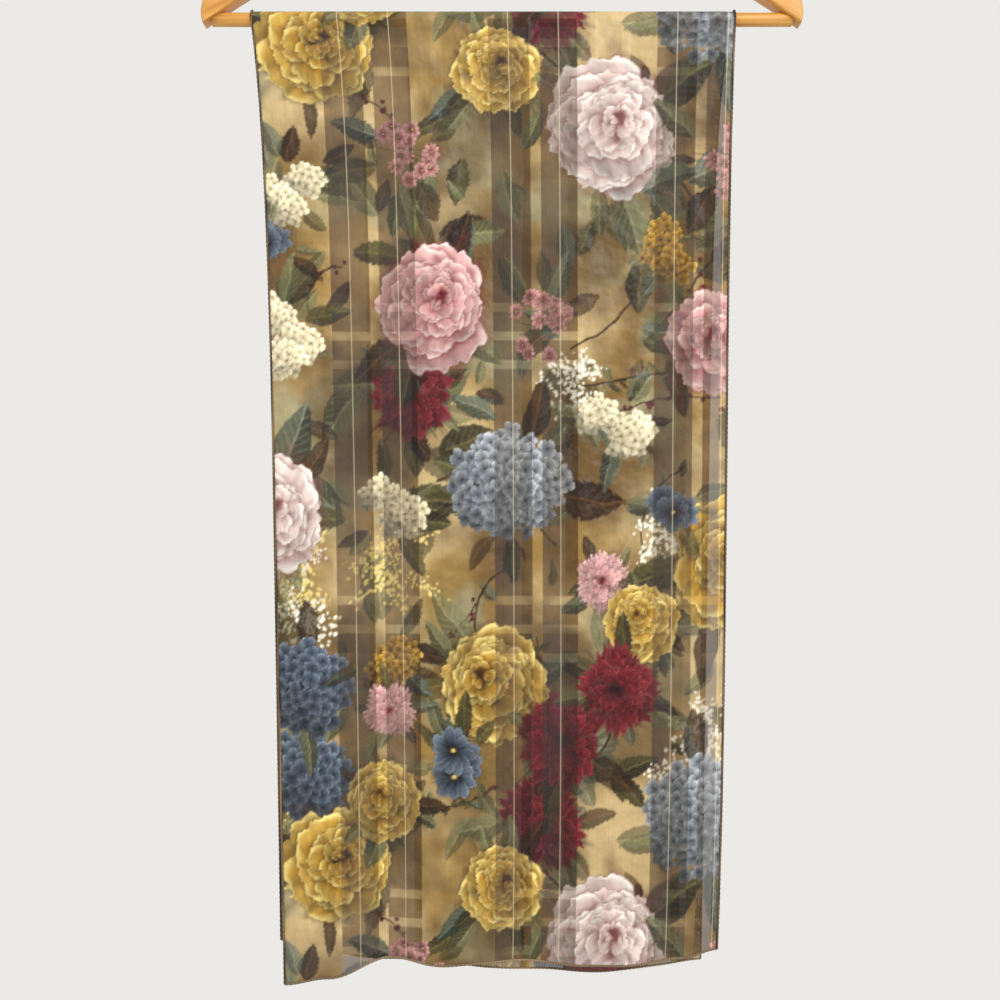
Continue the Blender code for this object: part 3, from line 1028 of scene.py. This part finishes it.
def armOutline():
    start = gap / 2
    shares = np.linspace(0, 1, hanger["steps"])
    outline = [(x, armLower(x)) for x in start + (hanger["tipX"] - start) * shares]
    upper = []
    for x in hanger["endStart"] + (start - hanger["endStart"]) * shares:
        height = hanger["rootHeight"] + (hanger["endHeight"] - hanger["rootHeight"]) * x / hanger["tipX"]
        upper.append((x, armLower(x) + height))
    bulge = (hanger["endBulge"][0], barZ + hanger["endBulge"][1])
    for t in np.linspace(0, 1, hanger["endSteps"])[1:-1]:
        weights = ((1 - t) ** 2, 2 * t * (1 - t), t * t)
        corners = (outline[hanger["steps"] - 1], bulge, upper[0])
        outline.append(tuple(sum(w * corner[i] for w, corner in zip(weights, corners)) for i in (0, 1)))
    return outline + upper


def makeArm(name, node, side, look):
    wood = bmesh.new()
    half = hanger["depth"] / 2
    face = wood.faces.new([wood.verts.new((side * x, -half, z)) for x, z in armOutline()])
    pushed = bmesh.ops.extrude_face_region(wood, geom=[face])
    moved = [part for part in pushed["geom"] if isinstance(part, bmesh.types.BMVert)]
    bmesh.ops.translate(wood, verts=moved, vec=(0, hanger["depth"], 0))
    bmesh.ops.recalc_face_normals(wood, faces=wood.faces)
    rims = [edge for edge in wood.edges if abs(edge.verts[0].co.y - edge.verts[1].co.y) < 0.0001]
    bmesh.ops.bevel(wood, geom=rims, offset=hanger["edge"], offset_type="OFFSET",
                    segments=hanger["edgeSegments"], profile=0.5, affect="EDGES", material=-1,
                    clamp_overlap=True)
    mesh = bpy.data.meshes.new(name)
    wood.to_mesh(mesh)
    wood.free()
    mesh.shade_smooth()
    mesh.set_sharp_from_angle(angle=math.radians(hanger["sharpFrom"]))
    return finishPiece(placed(name, mesh), look, [node])


def makeBar():
    half = hanger["barHalf"]
    path = np.array([(x, 0, barZ) for x in np.linspace(-half, half, hanger["barSteps"])])
    return rod("trouserBar", closedPath(path), barRadius, hanger["barSides"], beech, ["trouser_bar"])


hook = {
    "wire": 0.0017,
    "crook": 0.0187,
    "stemFoot": -0.086,
    "stemHead": -0.050,
    "start": -50,                   # degrees round the crook
    "end": 205,
    "stemSteps": 12,
    "bendSteps": 28,
    "crookSteps": 90,
    "sides": 20,
}


def makeHook():
    centre = Vector((0, 0, hook["wire"] - hook["crook"]))

    def onCrook(angle):
        return centre + hook["crook"] * Vector((math.cos(angle), 0, math.sin(angle)))

    start = math.radians(hook["start"])
    end = math.radians(hook["end"])
    head = Vector((0, 0, hook["stemHead"]))
    meet = onCrook(start)
    reach = (meet - head).length
    rise = Vector((0, 0, reach))
    sweep = reach * Vector((-math.sin(start), 0, math.cos(start)))
    stemSteps = hook["stemSteps"]
    path = [Vector((0, 0, z)) for z in np.linspace(hook["stemFoot"], hook["stemHead"], stemSteps)[:-1]]
    for t in np.linspace(0, 1, hook["bendSteps"]):
        path.append((2 * t**3 - 3 * t**2 + 1) * head + (t**3 - 2 * t**2 + t) * rise
                    + (3 * t**2 - 2 * t**3) * meet + (t**3 - t**2) * sweep)
    path += [onCrook(start + (end - start) * t) for t in np.linspace(0, 1, hook["crookSteps"])[1:]]
    points = np.array([tuple(point) for point in path])
    return rod("wireHook", closedPath(points), hook["wire"], hook["sides"], steel, ["hook"])


makeArm("armLeft", "arm_left", -1, beechLeft)
makeArm("armRight", "arm_right", 1, beechRight)
makeBar()
makeHook()
print("hanger built")

studio = {
    "floorZ": -1.6,
    "floorRadius": 1.5,
    "paper": (0.60, 0.59, 0.575),
    "sky": (0.83, 0.82, 0.80),
    "lamps": [
        {"place": (0.9, -1.5, 0.5), "size": 1.2, "watts": 34},
        {"place": (-1.3, -1.2, -0.2), "size": 1.4, "watts": 7},
        {"place": (0.3, 1.6, 0.2), "size": 1.4, "watts": 10},
    ],
    "aim": Vector((0, 0, -0.5)),
    "camera": Vector((-0.0015, -0.886, -0.5645)),
    "lens": 43.2,
}


def makeStudio():
    scene = bpy.context.scene
    scene.view_settings.view_transform = "Standard"
    ground = bmesh.new()
    bmesh.ops.create_circle(ground, cap_ends=True, segments=96, radius=studio["floorRadius"])
    bmesh.ops.translate(ground, verts=ground.verts, vec=(0, 0, studio["floorZ"]))
    mesh = bpy.data.meshes.new("floor")
    ground.to_mesh(mesh)
    ground.free()
    paper = Look("paper", Base_Color=solid(studio["paper"]), Roughness=0.9)
    mesh.materials.append(paper.material)
    placed("floor", mesh)
    world = bpy.data.worlds.new("studio")
    world.use_nodes = True
    sky = world.node_tree.nodes["Background"]
    sky.inputs["Color"].default_value = solid(studio["sky"])
    scene.world = world
    for number, lamp in enumerate(studio["lamps"]):
        light = bpy.data.lights.new(f"softbox{number + 1}", "AREA")
        light.size = lamp["size"]
        light.energy = lamp["watts"]
        holder = placed(light.name, light)
        holder.location = lamp["place"]
        holder.rotation_euler = (studio["aim"] - holder.location).to_track_quat("-Z", "Y").to_euler()
    lens = bpy.data.cameras.new("camera")
    lens.lens = studio["lens"]
    camera = placed("camera", lens)
    camera.location = studio["camera"]
    camera.rotation_euler = (math.pi / 2, 0, 0)
    scene.camera = camera


makeStudio()
print("studio set")
